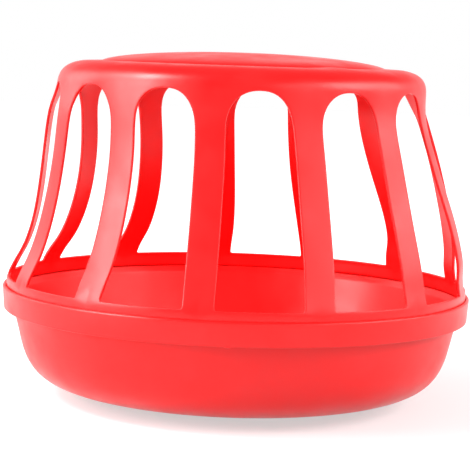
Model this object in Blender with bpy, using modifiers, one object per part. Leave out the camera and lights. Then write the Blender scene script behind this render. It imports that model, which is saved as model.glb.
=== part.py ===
"""Poultry feeder: a feed pan, a barred grille that stands in the pan's rim, and a domed lid.

Each piece is one thin moulding.  Lengths are in millimetres times MM, so the model is in metres, and
+Z is up.  The origin is in the middle of the ring-shaped foot that the feeder stands on.
"""
from math import asin, cos, pi, sin, tau

import bmesh
import bpy
from mathutils import Matrix, Vector

MM = 0.001

# Clearances
SEAT_GAP = 0.3 * MM            # height between a piece and the seat that carries it
RING_CLEARANCE = 0.3 * MM      # round the grille's ring, inside the pan's upstand
LID_CLEARANCE = 0.8 * MM       # round the lid's edge, inside its rebate
SPIGOT_CLEARANCE = 0.7 * MM    # round the lid's spigot, inside the hole in the crown

# Feed pan
PAN_WALL = 2.2 * MM
RIM_WALL = 2.2 * MM
RIM_RADIUS = 160.0 * MM        # outside of the rim band, at its top
RIM_HEIGHT = 75.0 * MM         # top of the rim band
BAND_HEIGHT = 15.5 * MM        # the band hangs this far down outside the pan's wall
BAND_DRAFT = 1.1 * MM          # the band is this much narrower at its lower edge
RIM_ROUND = 1.2 * MM
SEAT_DEPTH = 4.6 * MM          # the grille's seat lies this far below the top of the rim
SEAT_WIDTH = 3.2 * MM
PAN_INSET = 6.0 * MM           # the pan's wall, under the flange, lies this far inside the rim
LEDGE_DROP = 4.2 * MM          # the sloping ledge inside the seat falls this far to the pan's wall
PAN_DRAFT = 6.8 * MM           # the wall narrows by this much down to where it turns under
BEND_HEIGHT = 38.2 * MM
BEND_REACH = 37.0 * MM         # how far the wall's own slope is felt in the turn
BOTTOM_REACH = 52.0 * MM       # how far the bottom's slope is felt in the turn
BOTTOM_RISE = 8.1 * MM         # the bottom climbs by this much over that reach
FOOT_OUTER_RADIUS = 62.0 * MM
FOOT_WIDTH = 21.0 * MM
CONE_HEIGHT = 21.0 * MM        # underside of the raised middle, which sends feed to the wall
CONE_FOOT_REACH = 15.0 * MM
CONE_TOP_REACH = 14.0 * MM

# Grille
GRILLE_WALL = 2.0 * MM
BAR_COUNT = 13
BAR_TOP_WIDTH = 19.0 * MM
BAR_BASE_WIDTH = 19.9 * MM
OPENING_BASE = 5.8 * MM        # sill of the openings, above the top of the rim
OPENING_HEIGHT = 132.8 * MM    # sill to the top of the arch
ARCH_RISE = 26.0 * MM
ARCH_FULLNESS = 2.3            # 2 is an ellipse, and more has fuller haunches
OPENING_CORNER = 3.0 * MM
RING_HEIGHT = 7.0 * MM         # straight part of the ring above its seat
FLARE_HEIGHT = 9.0 * MM        # above the rim, where the wall meets the ring's round
FLARE_INSET = 1.3 * MM         # the wall there lies inside the ring by this much
SHOULDER_RADIUS = 125.4 * MM   # where the wall meets the round of the shoulder
SHOULDER_DROP = 14.0 * MM
SHOULDER_WIDTH = 17.4 * MM     # width of the shoulder's round
SHOULDER_REACH = 8.8 * MM      # how far the wall's slope is felt in that round
LAND_REACH = 9.9 * MM          # how far the flat land on top of the crown is felt in it
LAND_WIDTH = 10.4 * MM
LAND_RISE = 0.4 * MM           # the land climbs a little to the edge of the lid's rebate
CREST_HEIGHT = 153.3 * MM      # above the top of the rim
WALL_UPPER_LEAN = 4.2 * MM     # lean of the wall at its upper and lower thirds
WALL_LOWER_LEAN = 16.3 * MM

# Crown and lid
REBATE_DEPTH = 2.8 * MM
REBATE_WIDTH = 7.6 * MM        # ledge that carries the lid, round the hole in the crown
LID_WALL = 2.0 * MM
LID_EDGE = 1.9 * MM            # straight edge of the lid, below its dome
LID_RISE = 8.0 * MM            # top of the dome above the crest
LID_FULLNESS = 0.6             # 0.5 is an ellipse, and more has a flatter slope at the edge
LID_INNER_WIDTH = 9.0 * MM     # the dome's inside meets the spigot over this width
SPIGOT_DEPTH = 7.5 * MM        # the spigot reaches this far below the lid's edge
SPIGOT_WALL = 1.8 * MM

# Finish, which all three mouldings share
RED = (0.82, 0.008, 0.009)
GLOSS_ROUGHNESS = 0.3

# Facets
FIRST_BAR_ANGLE = -pi / 2      # one bar faces -Y
TURN_STEPS = 6 * BAR_COUNT
RIM_ROUND_STEPS = 3
BEND_STEPS = 7
CONE_STEPS = 5
SHOULDER_STEPS = 4
WALL_STEPS = 6
CORNER_STEPS = 3
BAR_STEPS = 4
ARCH_STEPS = 12
DOME_STEPS = 9

# Heights and radii that follow from the values above
SEAT_HEIGHT = RIM_HEIGHT - SEAT_DEPTH
LEDGE_HEIGHT = SEAT_HEIGHT - LEDGE_DROP
PAN_TOP_RADIUS = RIM_RADIUS - PAN_INSET
BEND_RADIUS = PAN_TOP_RADIUS - PAN_DRAFT
UPSTAND_RADIUS = RIM_RADIUS - RIM_WALL
RING_RADIUS = UPSTAND_RADIUS - RING_CLEARANCE
RING_BOTTOM = SEAT_HEIGHT + SEAT_GAP
SILL_HEIGHT = RIM_HEIGHT + OPENING_BASE
ARCH_TOP = SILL_HEIGHT + OPENING_HEIGHT
SPRINGING = ARCH_TOP - ARCH_RISE
CREST = RIM_HEIGHT + CREST_HEIGHT
REBATE_FLOOR = CREST - REBATE_DEPTH
LAND_RADIUS = SHOULDER_RADIUS - SHOULDER_WIDTH
REBATE_RADIUS = LAND_RADIUS - LAND_WIDTH
CROWN_HOLE_RADIUS = REBATE_RADIUS - REBATE_WIDTH


def curve(start, start_handle, end_handle, end, count):
    """Points along a cubic curve in a turned profile, without the first one."""
    points = []
    for step in range(1, count + 1):
        t = step / count
        u = 1.0 - t
        weights = (u ** 3, 3 * u * u * t, 3 * u * t * t, t ** 3)
        corners = (start, start_handle, end_handle, end)
        points.append(tuple(sum(w * c[axis] for w, c in zip(weights, corners)) for axis in (0, 1)))
    return points


def arc(centre, radius, first, last, count):
    """Points on a round; the angles are in turns."""
    angles = (tau * (first + (last - first) * step / count) for step in range(count + 1))
    return [(centre[0] + radius * cos(angle), centre[1] + radius * sin(angle)) for angle in angles]


def full_arch(half_span, springing, rise, count):
    """Points over an arch from right to left, with haunches as full as ARCH_FULLNESS says."""
    points = []
    for step in range(count + 1):
        angle = pi * step / count
        across, up = cos(angle), sin(angle)
        reach = abs(across) ** (2 / ARCH_FULLNESS)
        place = half_span * (reach if across > 0 else -reach)
        points.append((place, springing + rise * max(up, 0.0) ** (2 / ARCH_FULLNESS)))
    return points


def dome_line(radius, edge_height, rise, count):
    """Points down a low dome, from its top on the axis to its edge."""
    angles = [pi / 2 * step / count for step in range(count + 1)]
    return [(radius * sin(angle), edge_height + rise * max(cos(angle), 0.0) ** (2 * LID_FULLNESS))
            for angle in angles]


def inner_side(line, wall):
    """The line that runs one wall inside a profile that runs down its outer side."""
    def inward(a, b):
        run = Vector((b[0] - a[0], b[1] - a[1])).normalized()
        return Vector((run.y, -run.x))

    normals = [inward(a, b) for a, b in zip(line, line[1:])]
    shifted = []
    for point, before, after in zip(line, normals[:1] + normals, normals + normals[-1:]):
        mitre = (before + after) / (1.0 + before.dot(after))
        on_axis = point[0] < 0.01 * MM
        radius = 0.0 if on_axis else point[0] + wall * mitre.x
        height = point[1] + (wall if on_axis else wall * mitre.y)
        shifted.append((radius, height))
    return shifted


def radius_at(line, height):
    """Radius of a falling profile at a height."""
    for (r0, z0), (r1, z1) in zip(line, line[1:]):
        if z1 <= height <= z0 and z0 > z1:
            return r0 + (r1 - r0) * (z0 - height) / (z0 - z1)
    raise ValueError("the profile doesn't reach this height")


def moulded_red(name):
    """Material of one moulding."""
    material = bpy.data.materials.new(name)
    material.use_nodes = True
    shader = material.node_tree.nodes["Principled BSDF"]
    shader.inputs["Base Color"].default_value = (*RED, 1.0)
    shader.inputs["Roughness"].default_value = GLOSS_ROUGHNESS
    shader.inputs["Metallic"].default_value = 0.0
    material.diffuse_color = (*RED, 1.0)
    return material


def turned(name, profile, collection):
    """Object with a profile turned about Z, with one facet corner towards -Y."""
    mesh = bpy.data.meshes.new(name)
    edges = [(i, i + 1) for i in range(len(profile) - 1)]
    mesh.from_pydata([(r, 0.0, z) for r, z in profile], edges, [])
    piece = bpy.data.objects.new(name, mesh)
    piece.rotation_euler.z = FIRST_BAR_ANGLE
    collection.objects.link(piece)
    screw = piece.modifiers.new("turn", "SCREW")
    screw.steps = screw.render_steps = TURN_STEPS
    screw.use_merge_vertices = True
    screw.merge_threshold = 0.01 * MM
    screw.use_smooth_shade = True
    return piece


def pan_outer_line():
    """Outside of the pan, from the flange down its wall, over the foot and up to the axis."""
    lean = Vector((PAN_DRAFT, LEDGE_HEIGHT - BEND_HEIGHT)).normalized()
    bend = (BEND_RADIUS, BEND_HEIGHT)
    bend_handle = (BEND_RADIUS - BEND_REACH * lean.x, BEND_HEIGHT - BEND_REACH * lean.y)
    bottom_handle = (FOOT_OUTER_RADIUS + BOTTOM_REACH, BOTTOM_RISE)
    cone_foot = (FOOT_OUTER_RADIUS - FOOT_WIDTH, 0.0)
    line = [(PAN_TOP_RADIUS, LEDGE_HEIGHT), bend]
    line += curve(bend, bend_handle, bottom_handle, (FOOT_OUTER_RADIUS, 0.0), BEND_STEPS)
    line.append(cone_foot)
    line += curve(cone_foot, (cone_foot[0] - CONE_FOOT_REACH, 0.0),
                  (CONE_TOP_REACH, CONE_HEIGHT), (0.0, CONE_HEIGHT), CONE_STEPS)
    return line


def rim_line():
    """The rim: ledge, seat, upstand, hanging band and the underside of the flange."""
    band_bottom = RIM_HEIGHT - BAND_HEIGHT
    band_radius = RIM_RADIUS - BAND_DRAFT
    seat_edge = (UPSTAND_RADIUS - SEAT_WIDTH, SEAT_HEIGHT)
    line = [seat_edge, (UPSTAND_RADIUS, SEAT_HEIGHT), (UPSTAND_RADIUS, RIM_HEIGHT)]
    line += arc((RIM_RADIUS - RIM_ROUND, RIM_HEIGHT - RIM_ROUND), RIM_ROUND, 0.25, 0.0, RIM_ROUND_STEPS)
    line += [(band_radius, band_bottom), (band_radius - RIM_WALL, band_bottom)]
    line.append((UPSTAND_RADIUS - BAND_DRAFT / 2, SEAT_HEIGHT - RIM_WALL))
    return line


def build_feed_pan(collection):
    """The pan: bowl with a raised middle, and a rim that carries the grille."""
    outer = pan_outer_line()
    inner = inner_side(outer, PAN_WALL)
    pan = turned("feed_pan", inner[::-1] + rim_line() + outer, collection)
    pan.data.materials.append(moulded_red("pan_red_polypropylene"))
    return pan


def grille_outer_line():
    """Outside of the grille, from the hole in its crown down to the foot of its ring."""
    shoulder = (SHOULDER_RADIUS, CREST - SHOULDER_DROP)
    flare = (RING_RADIUS - FLARE_INSET, RIM_HEIGHT + FLARE_HEIGHT)
    third = (shoulder[1] - flare[1]) / 3
    upper = (shoulder[0] + WALL_UPPER_LEAN, shoulder[1] - third)
    lower = (flare[0] - WALL_LOWER_LEAN, flare[1] + third)
    lean = Vector((WALL_UPPER_LEAN, third)).normalized() * SHOULDER_REACH
    land_edge = (LAND_RADIUS, CREST - LAND_RISE)
    line = [(CROWN_HOLE_RADIUS, REBATE_FLOOR), (REBATE_RADIUS, REBATE_FLOOR), (REBATE_RADIUS, CREST)]
    line.append(land_edge)
    line += curve(land_edge, (LAND_RADIUS + LAND_REACH, land_edge[1]),
                  (shoulder[0] - lean.x, shoulder[1] + lean.y), shoulder, SHOULDER_STEPS)
    line += curve(shoulder, upper, lower, flare, WALL_STEPS)
    line += [(RING_RADIUS, RING_BOTTOM + RING_HEIGHT), (RING_RADIUS, RING_BOTTOM)]
    return line


def bar_width(height):
    """Width of a bar, which narrows from the sill to the springing of the arches."""
    share = (height - SILL_HEIGHT) / (SPRINGING - SILL_HEIGHT)
    return BAR_BASE_WIDTH + (BAR_TOP_WIDTH - BAR_BASE_WIDTH) * share


def opening_half_width(outer, height):
    """Half the width of an opening, between two bars, at a height."""
    radius = radius_at(outer, height)
    return radius * sin(pi / BAR_COUNT - asin(bar_width(height) / 2 / radius))


def opening_outline(outer):
    """Outline of one opening as pairs of sideways place and height, with an arch on top."""
    corner_top = SILL_HEIGHT + OPENING_CORNER
    half_sill = opening_half_width(outer, corner_top)
    side = arc((half_sill - OPENING_CORNER, corner_top), OPENING_CORNER, -0.25, 0.0, CORNER_STEPS)
    for step in range(1, BAR_STEPS):
        height = corner_top + (SPRINGING - corner_top) * step / BAR_STEPS
        side.append((opening_half_width(outer, height), height))
    arch = full_arch(opening_half_width(outer, SPRINGING), SPRINGING, ARCH_RISE, ARCH_STEPS)
    return side + arch + [(-place, height) for place, height in reversed(side)]


def opening_cutter(index, outline, collection):
    """Closed prism that cuts one opening through the grille's wall."""
    inner_face = SHOULDER_RADIUS - 3 * GRILLE_WALL
    outer_face = RIM_RADIUS + GRILLE_WALL
    mesh = bpy.data.meshes.new(f"opening_cutter_{index + 1}")
    shape = bmesh.new()
    corners = [shape.verts.new((inner_face, place, height)) for place, height in outline]
    face = shape.faces.new(corners)
    grown = bmesh.ops.extrude_face_region(shape, geom=[face])["geom"]
    moved = [item for item in grown if isinstance(item, bmesh.types.BMVert)]
    bmesh.ops.translate(shape, verts=moved, vec=(outer_face - inner_face, 0.0, 0.0))
    bmesh.ops.recalc_face_normals(shape, faces=shape.faces)
    turn = FIRST_BAR_ANGLE + tau * (index + 0.5) / BAR_COUNT
    bmesh.ops.transform(shape, matrix=Matrix.Rotation(turn, 4, "Z"), verts=shape.verts)
    shape.to_mesh(mesh)
    shape.free()
    cutter = bpy.data.objects.new(mesh.name, mesh)
    cutter.hide_render = True
    cutter.display_type = "WIRE"
    collection.objects.link(cutter)
    return cutter


def build_grille_cover(collection, cutters):
    """The grille: a flared shell with a crown, a ring and arched openings between its bars."""
    outer = grille_outer_line()
    grille = turned("grille_cover", outer, collection)
    shell = grille.modifiers.new("wall", "SOLIDIFY")
    shell.thickness = GRILLE_WALL
    shell.offset = -1.0
    shell.use_even_offset = True
    outline = opening_outline(outer)
    for index in range(BAR_COUNT):
        opening_cutter(index, outline, cutters)
    openings = grille.modifiers.new("openings", "BOOLEAN")
    openings.operation = "DIFFERENCE"
    openings.solver = "EXACT"
    openings.operand_type = "COLLECTION"
    openings.collection = cutters
    grille.data.materials.append(moulded_red("grille_red_polypropylene"))
    return grille


def build_lid(collection):
    """The lid: a low dome whose edge lies in the crown's rebate, over a spigot in its hole."""
    edge_radius = REBATE_RADIUS - LID_CLEARANCE
    edge_bottom = REBATE_FLOOR + SEAT_GAP
    edge_top = edge_bottom + LID_EDGE
    spigot_radius = CROWN_HOLE_RADIUS - SPIGOT_CLEARANCE
    spigot_bottom = edge_bottom - SPIGOT_DEPTH
    rise = CREST + LID_RISE - edge_top
    dome = dome_line(edge_radius, edge_top, rise, DOME_STEPS)
    inner_radius = spigot_radius - SPIGOT_WALL
    hollow = [point for point in dome_line(edge_radius, edge_top - LID_WALL, rise, DOME_STEPS)
              if point[0] < inner_radius - LID_INNER_WIDTH]
    profile = dome + [(edge_radius, edge_bottom), (spigot_radius, edge_bottom)]
    profile += [(spigot_radius, spigot_bottom), (inner_radius, spigot_bottom)]
    profile += [(inner_radius, edge_bottom)] + hollow[::-1]
    lid = turned("lid", profile, collection)
    lid.data.materials.append(moulded_red("lid_red_polypropylene"))
    return lid


def main():
    """Clear the scene and build the three mouldings."""
    for item in list(bpy.data.objects):
        bpy.data.objects.remove(item, do_unlink=True)
    feeder = bpy.data.collections.new("poultry_feeder")
    cutters = bpy.data.collections.new("cutters")
    bpy.context.scene.collection.children.link(feeder)
    bpy.context.scene.collection.children.link(cutters)
    build_feed_pan(feeder)
    build_grille_cover(feeder, cutters)
    build_lid(feeder)


main()
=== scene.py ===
"""Looks of the poultry feeder: three red mouldings with fine edges, and the studio round them.

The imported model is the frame.  Every moulding here stands for one of its nodes, at the same place and
size, and adds rounded edges, finer curves, bars that use has bent, and the finish of moulded
polypropylene.  Everything is in metres, with +Z up, and sizes of the feeder are millimetres times MM.
Angles in the sizes are in degrees where nothing else is said, and an azimuth runs from -Y towards +X.
"""
from __future__ import annotations

import logging
from dataclasses import dataclass, field
from enum import Enum
from functools import cached_property
from math import asin, atan2, cos, degrees, pi, radians, sin, tau

import bmesh
import bpy
from mathutils import Euler, Matrix, Vector, noise


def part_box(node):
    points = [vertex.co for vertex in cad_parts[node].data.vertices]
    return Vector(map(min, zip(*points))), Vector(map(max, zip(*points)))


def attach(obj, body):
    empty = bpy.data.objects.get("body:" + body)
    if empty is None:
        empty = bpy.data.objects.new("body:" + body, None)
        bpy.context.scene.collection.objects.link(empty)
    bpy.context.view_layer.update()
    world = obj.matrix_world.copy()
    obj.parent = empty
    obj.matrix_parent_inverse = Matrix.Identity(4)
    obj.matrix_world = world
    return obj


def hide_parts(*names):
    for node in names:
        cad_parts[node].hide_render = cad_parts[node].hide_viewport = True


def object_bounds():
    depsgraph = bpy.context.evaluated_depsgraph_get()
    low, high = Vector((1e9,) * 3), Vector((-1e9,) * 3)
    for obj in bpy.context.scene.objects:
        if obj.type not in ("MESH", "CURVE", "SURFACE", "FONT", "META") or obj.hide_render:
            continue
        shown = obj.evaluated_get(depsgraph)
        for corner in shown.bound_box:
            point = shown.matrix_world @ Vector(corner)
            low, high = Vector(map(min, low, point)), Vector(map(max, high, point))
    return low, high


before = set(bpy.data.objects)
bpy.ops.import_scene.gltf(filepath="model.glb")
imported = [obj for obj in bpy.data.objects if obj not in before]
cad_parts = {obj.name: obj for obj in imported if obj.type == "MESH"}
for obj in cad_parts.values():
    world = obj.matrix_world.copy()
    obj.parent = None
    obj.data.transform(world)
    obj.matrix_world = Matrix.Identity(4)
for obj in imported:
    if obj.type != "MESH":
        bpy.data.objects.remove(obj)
CAD_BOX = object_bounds()

LOG = logging.getLogger("poultry_feeder")
MM = 0.001
SAME_PLACE = 0.01 * MM             # corners nearer to each other than this are one corner

Point = tuple[float, float]


class Body(Enum):
    """Moving bodies of the frame, which the pieces ride on."""

    PAN = "pan"
    GRILLE = "grille"
    LID = "lid"


class Slot(Enum):
    """Material slots of the record; each moulding holds one, and nothing here reads it."""

    PAN = "pan_plastic"
    GRILLE = "grille_plastic"
    LID = "lid_plastic"


class Ray(Enum):
    """Kinds of ray that the floor and the surroundings tell apart."""

    CAMERA = "Is Camera Ray"
    GLOSSY = "Is Glossy Ray"
    TRANSMISSION = "Is Transmission Ray"


def linear(colour: str) -> tuple[float, float, float, float]:
    """Turn an sRGB hex colour into the linear values that shaders read.

    Args:
        colour: A colour such as "#D81E1A".

    Returns:
        Red, green, blue and an alpha of 1.
    """
    channels = [int(colour[start:start + 2], 16) / 255 for start in (1, 3, 5)]
    toe_end, toe_slope, scale, power = 0.04045, 12.92, 1.055, 2.4
    values = [c / toe_slope if c <= toe_end else ((c + scale - 1) / scale) ** power for c in channels]
    return (values[0], values[1], values[2], 1.0)


def add_node(tree: bpy.types.NodeTree, kind: str, settings: dict[str | int, object] | None = None,
             links: dict[str | int, bpy.types.NodeSocket] | None = None) -> bpy.types.Node:
    """Add a shader node, set it up and link its inputs.

    Inputs go by name, or by number where several have one name, as on a mix of colours.

    Args:
        tree: The material's or world's node tree.
        kind: The node's type name.
        settings: Values by the input or the property that they set.
        links: Output sockets by the input that they feed.

    Returns:
        The new node.
    """
    node = tree.nodes.new(kind)
    for name, value in (settings or {}).items():
        if isinstance(name, int) or name in node.inputs:
            node.inputs[name].default_value = value
        else:
            setattr(node, name, value)
    for name, source in (links or {}).items():
        tree.links.new(source, node.inputs[name])
    return node


def any_ray(tree: bpy.types.NodeTree, kinds: tuple[Ray, ...]) -> bpy.types.NodeSocket:
    """Tell rays of some kinds from all others.

    Args:
        tree: The material's or world's node tree.
        kinds: The kinds of ray.

    Returns:
        An output that is 1 for rays of any of these kinds and 0 for others.
    """
    path = add_node(tree, "ShaderNodeLightPath").outputs
    found = path[kinds[0].value]
    for kind in kinds[1:]:
        either = add_node(tree, "ShaderNodeMath", {"operation": "MAXIMUM"}, {0: found, 1: path[kind.value]})
        found = either.outputs[0]
    return found


@dataclass(frozen=True)
class MouldedPolypropylene:
    """Polypropylene, coloured red in the mass and injection moulded in a tool with a fine grain.

    To the eye it is a saturated red with broad, soft highlights and no sharp mirror image.  Flow in
    the mould leaves faint clouds that are a little glossier or duller, and the grain softens the light.
    The shallow waves that shrinkage leaves are in the meshes.
    """

    name: str
    body: str = "#F80C10"
    cloud: str = "#F9100F"
    roughness: float = 0.36
    roughness_spread: float = 0.16
    cloud_size: float = 30.0 * MM
    cloud_detail: float = 3.0
    cloud_roughness: float = 0.55
    cloud_span: tuple[float, float] = (0.3, 0.7)     # most of the clouds' noise lies between these
    grain_size: float = 1.4 * MM      # the tool's grain is finer, and is drawn coarse enough to show
    grain_detail: float = 2.0
    grain_depth: float = 0.010 * MM
    index_of_refraction: float = 1.48

    def material(self) -> bpy.types.Material:
        """Build the material and its nodes.

        Returns:
            The material.
        """
        material = bpy.data.materials.new(self.name)
        material.use_nodes = True
        tree = material.node_tree
        shader = tree.nodes["Principled BSDF"]
        shader.inputs["IOR"].default_value = self.index_of_refraction
        place = add_node(tree, "ShaderNodeTexCoord").outputs["Object"]
        clouds = add_node(tree, "ShaderNodeTexNoise",
                          {"Scale": 1.0 / self.cloud_size, "Detail": self.cloud_detail,
                           "Roughness": self.cloud_roughness},
                          {"Vector": place}).outputs["Fac"]
        colour = add_node(tree, "ShaderNodeMix",
                          {"data_type": "RGBA", 6: linear(self.body), 7: linear(self.cloud)}, {0: clouds})
        gloss = add_node(tree, "ShaderNodeMapRange",
                         {"From Min": self.cloud_span[0], "From Max": self.cloud_span[1],
                          "To Min": self.roughness - self.roughness_spread / 2,
                          "To Max": self.roughness + self.roughness_spread / 2},
                         {"Value": clouds})
        grain = add_node(tree, "ShaderNodeTexNoise",
                         {"Scale": 1.0 / self.grain_size, "Detail": self.grain_detail},
                         {"Vector": place})
        grain_bump = add_node(tree, "ShaderNodeBump", {"Strength": 1.0, "Distance": self.grain_depth},
                              {"Height": grain.outputs["Fac"]})
        for name, source in (("Base Color", colour.outputs[2]), ("Roughness", gloss.outputs["Result"]),
                             ("Normal", grain_bump.outputs["Normal"])):
            tree.links.new(source, shader.inputs[name])
        material.diffuse_color = linear(self.body)
        return material


def eased(share: float) -> float:
    """Turn a share into a smooth step from 0 to 1, level at both ends."""
    held = min(max(share, 0.0), 1.0)
    return held * held * (3.0 - 2.0 * held)


def cubic(start: Point, start_handle: Point, end_handle: Point, end: Point, count: int) -> list[Point]:
    """Draw a cubic curve in a turned profile.

    Args:
        start: Where the curve starts.
        start_handle: The point that it sets out towards.
        end_handle: The point that it arrives from.
        end: Where the curve ends.
        count: Stretches in the curve.

    Returns:
        The end of each stretch; the start isn't among them.
    """
    points = []
    for step in range(1, count + 1):
        t = step / count
        u = 1.0 - t
        weights = (u ** 3, 3 * u * u * t, 3 * u * t * t, t ** 3)
        corners = (start, start_handle, end_handle, end)
        points.append((sum(w * c[0] for w, c in zip(weights, corners)),
                       sum(w * c[1] for w, c in zip(weights, corners))))
    return points


def elliptic(centre: Point, half_width: float, half_height: float, first: float, last: float,
             count: int) -> list[Point]:
    """Draw part of an ellipse.

    Args:
        centre: The middle of the ellipse.
        half_width: How far it reaches sideways.
        half_height: How far it reaches up.
        first: Where the part starts, in turns anticlockwise from the right.
        last: Where the part ends, in the same way.
        count: Stretches in the part.

    Returns:
        The points, with both ends.
    """
    angles = [tau * (first + (last - first) * step / count) for step in range(count + 1)]
    return [(centre[0] + half_width * cos(a), centre[1] + half_height * sin(a)) for a in angles]


def dome_line(radius: float, edge_height: float, rise: float, fullness: float,
              count: int) -> list[Point]:
    """Draw the line of a low dome.

    Args:
        radius: Radius of the dome's edge.
        edge_height: Height of the edge.
        rise: Height of the top above the edge.
        fullness: 0.5 gives an ellipse, and more gives a flatter slope at the edge.
        count: Stretches in the line.

    Returns:
        Radius and height of each point, from the top on the axis down to the edge.
    """
    angles = [pi / 2 * step / count for step in range(count + 1)]
    return [(radius * sin(a), edge_height + rise * max(cos(a), 0.0) ** (2 * fullness)) for a in angles]


def inner_side(line: list[Point], wall: float) -> list[Point]:
    """Find the line that runs one wall inside a profile.

    Args:
        line: The profile's outer side, as radius and height, running down.
        wall: The distance between the two lines.

    Returns:
        As many points as the line has; points on the axis stay on it.
    """
    def inward(a: Point, b: Point) -> Vector:
        """Unit vector that points into the wall from a stretch of the line."""
        run = Vector((b[0] - a[0], b[1] - a[1])).normalized()
        return Vector((run.y, -run.x))

    normals = [inward(a, b) for a, b in zip(line, line[1:])]
    shifted = []
    for point, before, after in zip(line, normals[:1] + normals, normals + normals[-1:]):
        mitre = (before + after) / (1.0 + before.dot(after))
        on_axis = point[0] < SAME_PLACE
        radius = 0.0 if on_axis else point[0] + wall * mitre.x
        shifted.append((radius, point[1] + (wall if on_axis else wall * mitre.y)))
    return shifted


def rounded(line: list[Point], rounds: dict[int, float], count: int = 4) -> list[Point]:
    """Round some corners of a profile.

    Args:
        line: Corners as radius and height.
        rounds: Radius of the round by the index of its corner.
        count: Stretches in each round.

    Returns:
        The profile with an arc in place of each such corner.
    """
    points: list[Point] = []
    for index, point in enumerate(line):
        if index not in rounds:
            points.append(point)
            continue
        here = Vector(point)
        to_before = (Vector(line[index - 1]) - here).normalized()
        to_after = (Vector(line[(index + 1) % len(line)]) - here).normalized()
        half = to_before.angle(to_after) / 2
        reach = rounds[index] * cos(half) / sin(half)
        start, end = here + to_before * reach, here + to_after * reach
        for step in range(count + 1):
            t = step / count
            u = 1.0 - t
            weight = sin(half)          # makes the rational curve a true arc
            share = u * u + 2 * u * t * weight + t * t
            spot = (start * u * u + here * 2 * u * t * weight + end * t * t) / share
            points.append((spot.x, spot.y))
    return points


def radius_at(line: list[Point], height: float) -> float:
    """Find the radius of a falling profile at a height.

    Args:
        line: Radius and height of each point, running down.
        height: A height that the profile reaches.

    Returns:
        The radius there.
    """
    for (r0, z0), (r1, z1) in zip(line, line[1:]):
        if z1 <= height <= z0 and z0 > z1:
            return r0 + (r1 - r0) * (z0 - height) / (z0 - z1)
    raise ValueError(f"the profile doesn't reach {height}")


@dataclass
class Moulding:
    """One moulded piece, which stands for one node of the frame."""

    node: str
    body: Body
    slot: Slot
    finish: MouldedPolypropylene

    @cached_property
    def box(self) -> tuple[Vector, Vector]:
        """Lowest and highest corner of the node."""
        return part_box(self.node)

    @property
    def top(self) -> float:
        """Height of the node's highest point."""
        return self.box[1].z

    @property
    def bottom(self) -> float:
        """Height of the node's lowest point."""
        return self.box[0].z

    @property
    def outer_radius(self) -> float:
        """Largest radius of the node, which has a facet's corner towards -Y."""
        return (self.box[1].y - self.box[0].y) / 2

    def shape(self) -> bmesh.types.BMesh:
        """Model the piece, each kind of moulding in its own way."""
        raise NotImplementedError

    def refine(self, piece: bpy.types.Object) -> None:
        """Add the modifiers that finish the piece, where it has any."""

    def build(self) -> bpy.types.Object:
        """Returns:
            The object that is shown in place of the node.
        """
        shape = self.shape()
        mesh = bpy.data.meshes.new(f"{self.node}_moulding")
        shape.to_mesh(mesh)
        shape.free()
        mesh.shade_smooth()
        piece = bpy.data.objects.new(f"{self.node}_moulding", mesh)
        bpy.context.scene.collection.objects.link(piece)
        mesh.materials.append(self.finish.material())
        self.refine(piece)
        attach(piece, self.body.value)
        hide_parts(self.node)
        return piece


def spun(profile: list[Point], steps: int) -> bmesh.types.BMesh:
    """Turn a profile about the axis.

    Args:
        profile: Radius and height of each point, from the axis back to the axis.
        steps: Facets round the axis.

    Returns:
        A closed shape whose faces look out.
    """
    shape = bmesh.new()
    corners = [shape.verts.new((radius, 0.0, height)) for radius, height in profile]
    for first, second in zip(corners, corners[1:]):
        shape.edges.new((first, second))
    bmesh.ops.spin(shape, geom=shape.verts[:] + shape.edges[:], cent=(0, 0, 0), axis=(0, 0, 1),
                   dvec=(0, 0, 0), angle=tau, steps=steps, use_merge=True)
    bmesh.ops.remove_doubles(shape, verts=shape.verts[:], dist=SAME_PLACE)
    bmesh.ops.recalc_face_normals(shape, faces=shape.faces[:])
    return shape


def shift_out(corner: bmesh.types.BMVert, distance: float) -> None:
    """Move a corner straight out from the axis.

    Args:
        corner: The corner.
        distance: How far it moves.
    """
    factor = 1.0 + distance / max(corner.co.xy.length, MM)
    corner.co.x *= factor
    corner.co.y *= factor


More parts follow.
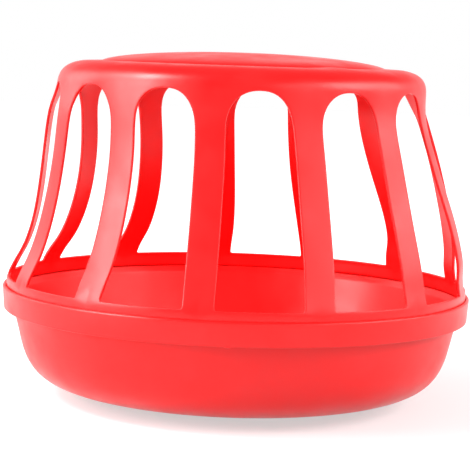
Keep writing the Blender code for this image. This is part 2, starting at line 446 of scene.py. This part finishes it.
@dataclass
class FeedPan(Moulding):
    """The deep pan with its raised middle, ledge, seat, upstand and hanging rim band."""

    wall: float = 2.2 * MM
    rim_wall: float = 2.2 * MM
    band_height: float = 15.5 * MM
    band_draft: float = 1.1 * MM
    rim_round: float = 1.2 * MM
    edge_round: float = 0.6 * MM
    seat_depth: float = 4.6 * MM
    seat_width: float = 3.2 * MM
    inset: float = 6.0 * MM            # the wall, under the flange, lies this far inside the rim
    ledge_drop: float = 4.2 * MM
    draft: float = 6.8 * MM
    bend_height: float = 38.2 * MM
    bend_reach: float = 37.0 * MM
    bottom_reach: float = 52.0 * MM
    bottom_rise: float = 8.1 * MM
    foot_outer: float = 62.0 * MM
    foot_width: float = 21.0 * MM
    cone_height: float = 21.0 * MM
    cone_foot_reach: float = 15.0 * MM
    cone_top_reach: float = 14.0 * MM
    wave_size: float = 60.0 * MM
    wave_depth: float = 0.25 * MM
    wave_fade: float = 3.0             # the waves fade in the lowest and highest of this many parts
    bend_facets: int = 8
    side_facets: int = 32
    cone_facets: int = 16
    steps: int = 208

    @property
    def ledge(self) -> Point:
        """Radius and height at which the pan's wall leaves the flange."""
        return (self.outer_radius - self.inset, self.top - self.seat_depth - self.ledge_drop)

    def outer_line(self) -> list[Point]:
        """Draw the outside of the pan.

        Returns:
            Radius and height of each point, from the flange down to the axis.
        """
        bend = (self.ledge[0] - self.draft, self.bend_height)
        lean = Vector((self.draft, self.ledge[1] - bend[1])).normalized() * self.bend_reach
        foot_inner = self.foot_outer - self.foot_width
        line = [self.ledge] + cubic(self.ledge, self.ledge, bend, bend, self.bend_facets)
        line += cubic(bend, (bend[0] - lean.x, bend[1] - lean.y),
                      (self.foot_outer + self.bottom_reach, self.bottom_rise), (self.foot_outer, 0.0),
                      self.side_facets)
        line += [(self.foot_outer - self.foot_width / 2, 0.0), (foot_inner, 0.0)]
        line += cubic((foot_inner, 0.0), (foot_inner - self.cone_foot_reach, 0.0),
                      (self.cone_top_reach, self.cone_height), (0.0, self.cone_height),
                      self.cone_facets)
        return line

    def rim_line(self) -> list[Point]:
        """Draw the rim, with its upstand and its hanging band.

        Returns:
            Radius and height of each point, from the seat over the rim and back under the flange.
        """
        upstand = self.outer_radius - self.rim_wall
        seat = self.top - self.seat_depth
        band_bottom = self.top - self.band_height
        band_radius = self.outer_radius - self.band_draft
        corners = [
            (upstand - self.seat_width, seat),
            (upstand, seat),
            (upstand, self.top),
            (self.outer_radius, self.top),
            (band_radius, band_bottom),
            (band_radius - self.rim_wall, band_bottom),
            (upstand - self.band_draft / 2, seat - self.rim_wall),
            self.ledge,
        ]
        rounds = {index: self.edge_round for index in range(len(corners) - 1)}
        rounds[3] = self.rim_round      # the rim's outer corner
        return rounded(corners, rounds)[:-1]

    def shape(self) -> bmesh.types.BMesh:
        """Turn the pan's section about the axis and let its wall shrink in shallow waves.

        Returns:
            The pan as a closed shape.
        """
        outer = self.outer_line()
        inner = inner_side(outer, self.wall)
        shape = spun(inner[::-1] + self.rim_line() + outer, self.steps)
        below_rim = self.ledge[1] - self.wall
        for corner in shape.verts:
            free = eased((below_rim - corner.co.z) / below_rim * self.wave_fade)
            free *= eased(corner.co.z / below_rim * self.wave_fade)
            if corner.co.xy.length > self.foot_outer:
                shift_out(corner, free * self.wave_depth * noise.noise(corner.co / self.wave_size))
        return shape


@dataclass(frozen=True)
class BarBow:
    """How far one bar has bent in use: out from the axis, and sideways, anticlockwise from above.

    Each is given low, at a third of the bar's height, and high, at two thirds.
    """

    out_low: float = 0.0
    out_high: float = 0.0
    side_low: float = 0.0
    side_high: float = 0.0
    hold: float = 0.15                 # over this share of the height, either end stays near its place

    def reach(self, share: float) -> tuple[float, float]:
        """Bend at a share of the bar's height.

        Args:
            share: 0 at the sill and 1 at the top of the arches.

        Returns:
            The outward and the sideways bend.
        """
        if not 0.0 < share < 1.0:
            return (0.0, 0.0)
        ends = eased(share / self.hold) * eased((1.0 - share) / self.hold)
        peak = 13.5                     # brings each curve to 1 at its own third; it is 0 at the other
        low = peak * share * (1.0 - share) * (2 / 3 - share) * ends
        high = peak * share * (1.0 - share) * (share - 1 / 3) * ends
        return (low * self.out_low + high * self.out_high, low * self.side_low + high * self.side_high)


@dataclass
class GrilleCover(Moulding):
    """The flared cover: a ring, bars with arched windows between them, and a rebated crown."""

    wall: float = 2.0 * MM
    bar_count: int = 13
    bar_top_width: float = 19.0 * MM
    bar_base_width: float = 19.9 * MM
    ring_height: float = 7.0 * MM
    sill_rise: float = 10.1 * MM       # sill of the windows above the foot of the ring
    window_height: float = 132.8 * MM
    arch_rise: float = 26.0 * MM
    arch_fullness: float = 2.3         # 2 is an ellipse, and more has fuller haunches
    sill_round: float = 1.5 * MM
    flare_rise: float = 13.3 * MM      # where the wall meets the ring's round, above the foot
    flare_inset: float = 1.3 * MM
    ring_round_out: float = 0.7 * MM   # handles of the round in which the wall meets the ring
    ring_round_reach: float = 2.0 * MM
    shoulder_radius: float = 125.4 * MM
    shoulder_drop: float = 14.0 * MM
    shoulder_width: float = 17.4 * MM
    shoulder_reach: float = 8.8 * MM
    land_reach: float = 9.9 * MM
    land_width: float = 10.4 * MM
    land_rise: float = 0.4 * MM
    land_break: float = 1.3 * MM       # the shoulder leaves the land with this much fall over its reach
    upper_lean: float = 4.2 * MM
    lower_lean: float = 16.3 * MM
    rebate_depth: float = 2.8 * MM
    rebate_width: float = 7.6 * MM
    edge_round: float = 0.5 * MM
    edge_facets: int = 2
    edge_angle: float = 40.0           # edges that turn more than this are rounded
    swell_azimuth: float = 43.0        # the rebate's edge swells here
    swell_spread: float = 11.0
    swell_height: float = 0.9 * MM
    land_slack: float = 0.1 * MM       # allowed when the corners of the land are picked by height
    collar_lean: Point = (-1.2 * MM, -0.2 * MM)     # the top of the bars leans this far along X and Y
    collar_span: tuple[float, float, float] = (165.0 * MM, 205.0 * MM, 227.0 * MM)  # start, full, end
    bend_start: float = 0.2            # share of the pitch after which the next bar's bend is felt
    bend_width: float = 0.6            # share of the pitch over which it takes over
    wave_size: float = 32.0 * MM
    wave_depth: float = 0.3 * MM
    cell_margin: float = 4.3 * MM      # ring of quads between a window and the rows above and below it
    row_gap: float = 0.3 * MM          # a row nearer to that ring than this is left out
    layers: int = 6
    shoulder_facets: int = 14
    wall_facets: int = 40
    ring_facets: int = 4
    sill_facets: int = 5
    corner_facets: int = 4             # an even number
    side_facets: int = 14
    arch_facets: int = 8
    first_bar: float = -pi / 2         # radians from +X
    bows: dict[int, BarBow] = field(default_factory=lambda: {
        1: BarBow(1 * MM, 0, 1.5 * MM, 0.5 * MM),
        2: BarBow(2.5 * MM, 1 * MM, 1 * MM, 0.5 * MM),
        3: BarBow(7 * MM, 2 * MM),
        4: BarBow(8 * MM, 7 * MM, -1.5 * MM, -1.5 * MM),
        5: BarBow(4.5 * MM, -2 * MM, -2.5 * MM, 1.5 * MM),
        6: BarBow(-1 * MM, -2 * MM, 2 * MM, 4 * MM),
        7: BarBow(0, 0, -1 * MM, 1.5 * MM),
        8: BarBow(-6 * MM, -3.5 * MM, -5.5 * MM, -3.5 * MM),
        9: BarBow(-8 * MM, -4.5 * MM, -3 * MM, -2 * MM),
        10: BarBow(-2.5 * MM, 2.5 * MM, 2 * MM, 3 * MM),
        11: BarBow(-2 * MM, 1 * MM),
        12: BarBow(-4 * MM, -2 * MM, 1.5 * MM, 1.5 * MM),
    })

    @property
    def sill(self) -> float:
        """Height of the windows' sill."""
        return self.bottom + self.sill_rise

    @property
    def arch_top(self) -> float:
        """Height of the top of the arches."""
        return self.sill + self.window_height

    @property
    def springing(self) -> float:
        """Height at which the arches start."""
        return self.arch_top - self.arch_rise

    @property
    def land_radius(self) -> float:
        """Radius at which the shoulder's round meets the flat land of the crown."""
        return self.shoulder_radius - self.shoulder_width

    @cached_property
    def line(self) -> list[Point]:
        """Outside of the cover.

        Returns:
            Radius and height of each point, from the crown's land down to the foot of the ring.
        """
        shoulder = (self.shoulder_radius, self.top - self.shoulder_drop)
        flare = (self.outer_radius - self.flare_inset, self.bottom + self.flare_rise)
        third = (shoulder[1] - flare[1]) / 3
        lean = Vector((self.upper_lean, third)).normalized() * self.shoulder_reach
        land = (self.land_radius, self.top - self.land_rise)
        line = [land]
        line += cubic(land, (land[0] + self.land_reach, land[1] - self.land_break),
                      (shoulder[0] - lean.x, shoulder[1] + lean.y), shoulder, self.shoulder_facets)
        line += cubic(shoulder, (shoulder[0] + self.upper_lean, shoulder[1] - third),
                      (flare[0] - self.lower_lean, flare[1] + third), flare, self.wall_facets)
        ring_top = (self.outer_radius, self.bottom + self.ring_height)
        line += cubic(flare, (flare[0] + self.ring_round_out, flare[1] - self.ring_round_reach),
                      (ring_top[0], ring_top[1] + self.ring_round_reach), ring_top, self.ring_facets)
        line.append((self.outer_radius, self.bottom))
        return line

    def crown_rows(self) -> list[Point]:
        """Find the rows over the land and down into the lid's rebate.

        Returns:
            Radius and height of each row.
        """
        rebate_radius = self.land_radius - self.land_width
        floor = self.top - self.rebate_depth
        return [
            (self.land_radius - self.land_width / 3, self.top - self.land_rise * 2 / 3),
            (self.land_radius - self.land_width * 2 / 3, self.top - self.land_rise / 3),
            (rebate_radius, self.top),
            (rebate_radius, floor),
            (rebate_radius - self.rebate_width, floor),
        ]

    def window_angle(self, height: float) -> float:
        """Find half the angle that an opening spans between two bars.

        Args:
            height: Where it is measured.

        Returns:
            The angle in radians.
        """
        share = (height - self.sill) / (self.springing - self.sill)
        width = self.bar_base_width + (self.bar_top_width - self.bar_base_width) * share
        return pi / self.bar_count - asin(width / 2 / radius_at(self.line, height))

    def half_outline(self) -> list[Point]:
        """Draw half of a window's edge.

        Returns:
            Angle and height of each point, from the middle of the sill to the top of the arch.
        """
        corner = self.sill + self.sill_round
        half_sill = self.window_angle(corner)
        turn = self.sill_round / self.outer_radius
        points = [((half_sill - turn) * step / self.sill_facets, self.sill)
                  for step in range(self.sill_facets)]
        points += elliptic((half_sill - turn, corner), turn, self.sill_round, -0.25, 0.0,
                           self.corner_facets)
        for step in range(1, self.side_facets):
            height = corner + (self.springing - corner) * step / self.side_facets
            points.append((self.window_angle(height), height))
        span = self.window_angle(self.springing)
        power = 2 / self.arch_fullness
        for step in range(self.arch_facets + 1):
            angle = pi / 2 * step / self.arch_facets
            points.append((span * max(cos(angle), 0.0) ** power,
                           self.springing + self.arch_rise * sin(angle) ** power))
        points[-1] = (0.0, self.arch_top)
        return points

    def half_cell(self, low: float, high: float) -> list[Point]:
        """Draw half of the rectangle round a window, with as many points as half the window's edge.

        Args:
            low: Height of its lower side.
            high: Height of its upper side.

        Returns:
            Angle and height of each point, from the middle of its lower side to that of its upper.
        """
        half_pitch = pi / self.bar_count
        half_corner = self.corner_facets // 2
        across = self.sill_facets + half_corner
        top = self.arch_facets // 2
        up = half_corner + self.side_facets + self.arch_facets - top
        points = [(half_pitch * step / across, low) for step in range(across)]
        points += [(half_pitch, low + (high - low) * step / up) for step in range(up)]
        points += [(half_pitch * (top - step) / top, high) for step in range(top + 1)]
        return points

    def window_cell(self) -> tuple[bmesh.types.BMesh, float, float]:
        """Lay out the wall round one window, flat, with its angle along X and its height along Z.

        Returns:
            The shape, and the heights of its lower and upper side.
        """
        low, high = self.sill - self.cell_margin, self.arch_top + self.cell_margin
        scale = self.outer_radius
        shape = bmesh.new()
        for half in (self.half_outline(), self.half_cell(low, high)):
            loop = half + [(-angle, height) for angle, height in reversed(half[1:-1])]
            corners = [shape.verts.new((angle * scale, 0.0, height)) for angle, height in loop]
            for first, second in zip(corners, corners[1:] + corners[:1]):
                shape.edges.new((first, second))
        rims = set(shape.edges)
        bmesh.ops.bridge_loops(shape, edges=shape.edges[:])
        rungs = [edge for edge in shape.edges if edge not in rims]
        bmesh.ops.subdivide_edges(shape, edges=rungs, cuts=self.layers - 1, use_grid_fill=True)
        for corner in shape.verts:
            corner.co.x /= scale
        return shape, low, high

    def pitch(self) -> bmesh.types.BMesh:
        """Model one bar pitch of the cover's outer surface.

        Returns:
            The open shape, centred on a window at +X.
        """
        shape, low, high = self.window_cell()
        top = [e for e in shape.edges if all(abs(v.co.z - high) < SAME_PLACE for v in e.verts)]
        bottom = [e for e in shape.edges if all(abs(v.co.z - low) < SAME_PLACE for v in e.verts)]
        for corner in shape.verts:
            angle, height = corner.co.x, corner.co.z
            radius = radius_at(self.line, height)
            corner.co = (radius * cos(angle), radius * sin(angle), height)
        above = [p for p in reversed(self.line) if p[1] > high + self.row_gap]
        below = [p for p in self.line if p[1] < low - self.row_gap]
        for edges, rows in ((top, above + self.crown_rows()), (bottom, below)):
            for radius, height in rows:
                grown = bmesh.ops.extrude_edge_only(shape, edges=edges)["geom"]
                corners = [item for item in grown if isinstance(item, bmesh.types.BMVert)]
                edges = [item for item in grown if isinstance(item, bmesh.types.BMEdge)]
                old = corners[0].co.copy()
                factor = radius / old.xy.length
                bmesh.ops.scale(shape, vec=(factor, factor, 1.0), verts=corners)
                bmesh.ops.translate(shape, vec=(0.0, 0.0, height - old.z), verts=corners)
        return shape

    def bar_bend(self, bar: int, share: float) -> Vector:
        """Find how far one bar has moved from its true place.

        Args:
            bar: The bar's number, which may run on past the last one.
            share: 0 at the sill and 1 at the top of the arches.

        Returns:
            The move.
        """
        out, side = self.bows.get(bar % self.bar_count, BarBow()).reach(share)
        angle = self.first_bar + tau * bar / self.bar_count
        return Vector((out * cos(angle) - side * sin(angle), out * sin(angle) + side * cos(angle), 0.0))

    def bend_bars(self, shape: bmesh.types.BMesh) -> None:
        """Bend the bars as use has left them; each bar moves whole, and the arches between them give.

        Args:
            shape: The cover's whole outer surface.
        """
        foot, full, end = self.collar_span
        leaning = Vector((*self.collar_lean, 0.0))
        for corner in shape.verts:
            share = (corner.co.z - self.sill) / self.window_height
            turn = (atan2(corner.co.y, corner.co.x) - self.first_bar) / tau * self.bar_count
            bar = int(turn // 1)
            lean = eased((corner.co.z - foot) / (full - foot)) * eased((end - corner.co.z) / (end - full))
            blend = eased((turn - bar - self.bend_start) / self.bend_width)
            corner.co += self.bar_bend(bar, share) * (1.0 - blend) + self.bar_bend(bar + 1, share) * blend
            corner.co += leaning * lean

    def age(self, shape: bmesh.types.BMesh) -> None:
        """Add the shallow waves of the wall, and the swelling at the rebate's edge.

        Args:
            shape: The cover's whole outer surface.
        """
        for corner in shape.verts:
            azimuth = degrees(atan2(corner.co.x, -corner.co.y))
            swell = eased(1.0 - abs(azimuth - self.swell_azimuth) / self.swell_spread)
            inward = eased((self.land_radius - corner.co.xy.length) / self.land_width)
            if corner.co.z > self.top - self.land_rise - self.land_slack:
                corner.co.z += self.swell_height * swell * inward
            free = eased((corner.co.z - self.sill) / (2 * self.cell_margin))
            free *= eased((corner.co.xy.length - self.land_radius) / self.land_width)
            shift_out(corner, free * self.wave_depth * noise.noise(corner.co / self.wave_size))

    def shape(self) -> bmesh.types.BMesh:
        """Repeat the pitch round the axis, join the copies at the bars' middles, and bend the bars.

        Returns:
            The cover's outer surface, which the modifiers give its wall.
        """
        shape = self.pitch()
        first = shape.verts[:] + shape.edges[:] + shape.faces[:]
        for index in range(1, self.bar_count):
            copy = bmesh.ops.duplicate(shape, geom=first)["geom"]
            corners = [item for item in copy if isinstance(item, bmesh.types.BMVert)]
            bmesh.ops.rotate(shape, cent=(0, 0, 0), verts=corners,
                             matrix=Matrix.Rotation(tau * index / self.bar_count, 3, "Z"))
        bmesh.ops.remove_doubles(shape, verts=shape.verts[:], dist=SAME_PLACE)
        bmesh.ops.recalc_face_normals(shape, faces=shape.faces[:])
        looking = sum(face.normal.dot(face.calc_center_median()) for face in shape.faces)
        if looking < 0:
            bmesh.ops.reverse_faces(shape, faces=shape.faces[:])
        turn = self.first_bar + pi / self.bar_count
        bmesh.ops.rotate(shape, cent=(0, 0, 0), verts=shape.verts[:],
                         matrix=Matrix.Rotation(turn, 3, "Z"))
        self.bend_bars(shape)
        self.age(shape)
        return shape

    def refine(self, piece: bpy.types.Object) -> None:
        """Give the surface its wall, round its edges and smooth it.

        Args:
            piece: The cover's object.
        """
        shell = piece.modifiers.new("wall", "SOLIDIFY")
        shell.thickness = self.wall
        shell.offset = -1.0
        shell.use_even_offset = True
        edges = piece.modifiers.new("moulded_edges", "BEVEL")
        edges.width = self.edge_round
        edges.segments = self.edge_facets
        edges.limit_method = "ANGLE"
        edges.angle_limit = radians(self.edge_angle)
        smooth = piece.modifiers.new("smooth", "SUBSURF")
        smooth.levels = smooth.render_levels = 1


@dataclass
class DomedLid(Moulding):
    """The low dome with its straight edge and the spigot that locates it in the crown."""

    wall: float = 2.0 * MM
    edge_height: float = 1.9 * MM
    fullness: float = 0.6
    inner_width: float = 9.0 * MM      # the dome's inside meets the spigot over this width
    spigot_inset: float = 7.5 * MM
    spigot_wall: float = 1.8 * MM
    spigot_depth: float = 7.5 * MM
    edge_round: float = 0.5 * MM
    dome_facets: int = 40
    steps: int = 208

    def shape(self) -> bmesh.types.BMesh:
        """Turn the lid's section about the axis.

        Returns:
            The lid as a closed shape.
        """
        edge_bottom = self.bottom + self.spigot_depth
        edge_top = edge_bottom + self.edge_height
        rise = self.top - edge_top
        spigot_radius = self.outer_radius - self.spigot_inset
        inner_radius = spigot_radius - self.spigot_wall
        dome = dome_line(self.outer_radius, edge_top, rise, self.fullness, self.dome_facets)
        under = dome_line(self.outer_radius, edge_top - self.wall, rise, self.fullness, self.dome_facets)
        hollow = [point for point in under if point[0] < inner_radius - self.inner_width]
        skirt = [
            (self.outer_radius, edge_bottom),
            (spigot_radius, edge_bottom),
            (spigot_radius, self.bottom),
            (inner_radius, self.bottom),
            (inner_radius, edge_bottom),
        ]
        corners = rounded([dome[-1]] + skirt + [hollow[-1]],
                          {index: self.edge_round for index in range(1, len(skirt))})
        return spun(dome[:-1] + corners + hollow[:-1][::-1], self.steps)


@dataclass
class GateMark:
    """Small raised mark on the lower edge of the rim band, left by the mould."""

    pan: FeedPan
    azimuth: float = 6.9
    width: float = 4.0 * MM
    height: float = 1.5 * MM
    thickness: float = 2.2 * MM
    stands_out: float = 0.4 * MM       # past the outside of the band
    facets_round: int = 24
    facets_up: int = 12

    def build(self, material: bpy.types.Material) -> bpy.types.Object:
        """Args:
            material: The pan's finish.

        Returns:
            The mark's object, which rides on the pan.
        """
        shape = bmesh.new()
        bmesh.ops.create_uvsphere(shape, u_segments=self.facets_round, v_segments=self.facets_up,
                                  radius=0.5)
        bmesh.ops.scale(shape, verts=shape.verts[:], vec=(self.width, self.thickness, self.height))
        radius = self.pan.outer_radius - self.pan.band_draft - self.thickness / 2 + self.stands_out
        height = self.pan.top - self.pan.band_height
        bmesh.ops.translate(shape, verts=shape.verts[:], vec=(0.0, -radius, height))
        bmesh.ops.rotate(shape, cent=(0, 0, 0), verts=shape.verts[:],
                         matrix=Matrix.Rotation(radians(self.azimuth), 3, "Z"))
        mesh = bpy.data.meshes.new("rim_band_gate_mark")
        shape.to_mesh(mesh)
        shape.free()
        mesh.shade_smooth()
        mesh.materials.append(material)
        piece = bpy.data.objects.new(mesh.name, mesh)
        bpy.context.scene.collection.objects.link(piece)
        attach(piece, self.pan.body.value)
        return piece


@dataclass
class Softbox:
    """A rectangular studio light, placed round the object and aimed at it."""

    name: str
    azimuth: float
    elevation: float
    width: float
    height: float
    watts: float
    distance: float = 1.8

    def build(self, target: Vector) -> None:
        """Make the light, which the camera doesn't see.

        Args:
            target: The point that it is aimed at.
        """
        light = bpy.data.lights.new(self.name, "AREA")
        light.shape = "RECTANGLE"
        light.size = self.width
        light.size_y = self.height
        light.energy = self.watts
        lamp = bpy.data.objects.new(self.name, light)
        a, e = radians(self.azimuth), radians(self.elevation)
        back = Vector((sin(a) * cos(e), -cos(a) * cos(e), sin(e)))
        lamp.location = target + back * self.distance
        lamp.rotation_euler = (-back).to_track_quat("-Z", "Y").to_euler()
        lamp.visible_camera = False
        bpy.context.scene.collection.objects.link(lamp)


@dataclass
class Studio:
    """Pale floor, white surroundings, soft lights and the camera."""

    camera_azimuth: float = 8.4
    camera_distance: float = 1202.9 * MM
    camera_height: float = 237.5 * MM
    camera_sideways: float = -1.9 * MM
    camera_pitch: float = 6.0
    camera_roll: float = -1.94
    focal_pixels: float = 1754.0
    frame_pixels: int = 470
    sensor: float = 36.0
    clip_start: float = 50.0 * MM
    floor_radius: float = 6.0
    floor_facets: int = 64
    floor_colour: str = "#BCBCBC"
    floor_glow_near: float = 0.55      # glow that the camera sees, up to floor_near from the axis
    floor_glow_far: float = 0.95       # and from floor_far on
    floor_near: float = 0.25
    floor_far: float = 1.0
    surround_light: float = 0.45       # the surround's strength as light on the object
    surround_front: float = 0.18       # its strength in reflections of the room in front
    backdrop_side: float = 0.0         # Y of the ray at which the reflected white backdrop starts
    backdrop_back: float = 0.6         # and is full
    backdrop_low: float = 0.2          # Z of the ray up to which it is white
    backdrop_high: float = 0.5         # and at which it has faded out
    lights: list[Softbox] = field(default_factory=lambda: [
        Softbox("left_high_softbox", -68.0, 46.0, 0.6, 0.6, 30.0),
        Softbox("left_low_softbox", -58.0, 18.0, 0.8, 0.8, 27.0),
        Softbox("left_rim_softbox", -108.0, 22.0, 0.8, 0.8, 8.0),
        Softbox("right_softbox", 78.0, 28.0, 0.7, 0.8, 15.0),
        Softbox("right_rim_softbox", 106.0, 24.0, 0.7, 0.8, 9.0),
        Softbox("right_fill_softbox", 44.0, 24.0, 0.7, 0.7, 4.0),
    ])

    def build_camera(self) -> None:
        """Place the camera as the photograph's was."""
        camera = bpy.data.cameras.new("camera")
        camera.sensor_width = self.sensor
        camera.lens = self.sensor * self.focal_pixels / self.frame_pixels
        camera.clip_start = self.clip_start
        holder = bpy.data.objects.new("camera", camera)
        azimuth = radians(self.camera_azimuth)
        right = Vector((cos(azimuth), sin(azimuth), 0.0))
        back = Vector((sin(azimuth), -cos(azimuth), 0.0))
        place = back * self.camera_distance + right * self.camera_sideways
        holder.location = (place.x, place.y, self.camera_height)
        look = Euler((radians(90.0 - self.camera_pitch), 0.0, azimuth)).to_matrix()
        holder.rotation_euler = (look @ Matrix.Rotation(radians(-self.camera_roll), 3, "Z")).to_euler()
        bpy.context.scene.collection.objects.link(holder)
        bpy.context.scene.camera = holder

    def build_surround(self) -> None:
        """White surroundings: a white backdrop behind, and a dimmer room in front in reflections."""
        world = bpy.data.worlds.new("white_surround")
        bpy.context.scene.world = world
        world.use_nodes = True
        tree = world.node_tree
        background = tree.nodes["Background"]
        background.inputs["Color"].default_value = (1.0, 1.0, 1.0, 1.0)
        ray = add_node(tree, "ShaderNodeTexCoord").outputs["Generated"]
        split = add_node(tree, "ShaderNodeSeparateXYZ", None, {"Vector": ray}).outputs
        behind = add_node(tree, "ShaderNodeMapRange",
                          {"interpolation_type": "SMOOTHSTEP", "From Min": self.backdrop_side,
                           "From Max": self.backdrop_back},
                          {"Value": split["Y"]})
        backdrop = add_node(tree, "ShaderNodeMapRange",
                            {"interpolation_type": "SMOOTHSTEP", "From Min": self.backdrop_low,
                             "From Max": self.backdrop_high, "To Max": 0.0},
                            {"Value": split["Z"], "To Min": behind.outputs["Result"]})
        reflected = add_node(tree, "ShaderNodeMix", {"A": self.surround_front, "B": 1.0},
                             {"Factor": backdrop.outputs["Result"]})
        level = add_node(tree, "ShaderNodeMix", {"A": self.surround_light},
                         {"Factor": any_ray(tree, (Ray.GLOSSY,)), "B": reflected.outputs["Result"]})
        strength = add_node(tree, "ShaderNodeMix", {"B": 1.0},
                            {"Factor": any_ray(tree, (Ray.CAMERA, Ray.TRANSMISSION)),
                             "A": level.outputs["Result"]})
        tree.links.new(strength.outputs["Result"], background.inputs["Strength"])

    def build_floor(self) -> None:
        """Pale floor that takes the shadow, and glows so that the rest of it reads as white."""
        shape = bmesh.new()
        bmesh.ops.create_circle(shape, cap_ends=True, segments=self.floor_facets,
                                radius=self.floor_radius)
        mesh = bpy.data.meshes.new("floor")
        shape.to_mesh(mesh)
        shape.free()
        floor = bpy.data.objects.new("floor", mesh)
        bpy.context.scene.collection.objects.link(floor)
        material = bpy.data.materials.new("pale_floor")
        material.use_nodes = True
        tree = material.node_tree
        tree.nodes.remove(tree.nodes["Principled BSDF"])
        place = add_node(tree, "ShaderNodeTexCoord").outputs["Object"]
        away = add_node(tree, "ShaderNodeVectorMath", {"operation": "LENGTH"}, {0: place})
        lift = add_node(tree, "ShaderNodeMapRange",
                        {"interpolation_type": "SMOOTHSTEP", "From Min": self.floor_near,
                         "From Max": self.floor_far, "To Min": self.floor_glow_near,
                         "To Max": self.floor_glow_far},
                        {"Value": away.outputs["Value"]})
        shown = any_ray(tree, (Ray.CAMERA, Ray.TRANSMISSION, Ray.GLOSSY))
        strength = add_node(tree, "ShaderNodeMix", {"A": 0.0},
                            {"Factor": shown, "B": lift.outputs["Result"]})
        paper = add_node(tree, "ShaderNodeBsdfDiffuse", {"Color": linear(self.floor_colour)})
        glow = add_node(tree, "ShaderNodeEmission", {"Color": (1.0, 1.0, 1.0, 1.0)},
                        {"Strength": strength.outputs["Result"]})
        both = add_node(tree, "ShaderNodeAddShader", None, {0: paper.outputs[0], 1: glow.outputs[0]})
        tree.links.new(both.outputs[0], tree.nodes["Material Output"].inputs["Surface"])
        mesh.materials.append(material)

    def build(self) -> None:
        """Make the camera, the surroundings, the floor and the lights."""
        bpy.context.scene.view_settings.view_transform = "Standard"
        self.build_camera()
        self.build_surround()
        self.build_floor()
        target = (CAD_BOX[0] + CAD_BOX[1]) / 2
        for light in self.lights:
            light.build(target)


def main() -> None:
    """Build the studio and the feeder's pieces, and report each piece."""
    logging.basicConfig(level=logging.INFO, format="%(name)s: %(message)s")
    Studio().build()
    pan = FeedPan("feed_pan", Body.PAN, Slot.PAN, MouldedPolypropylene("pan_polypropylene"))
    grille = GrilleCover("grille_cover", Body.GRILLE, Slot.GRILLE,
                         MouldedPolypropylene("grille_polypropylene"))
    lid = DomedLid("lid", Body.LID, Slot.LID, MouldedPolypropylene("lid_polypropylene"))
    pan_piece = pan.build()
    mark_piece = GateMark(pan).build(pan_piece.data.materials[0])
    for piece in (pan_piece, mark_piece, grille.build(), lid.build()):
        LOG.info("%s: %d faces before its modifiers", piece.name, len(piece.data.polygons))


if __name__ == "__main__":
    main()
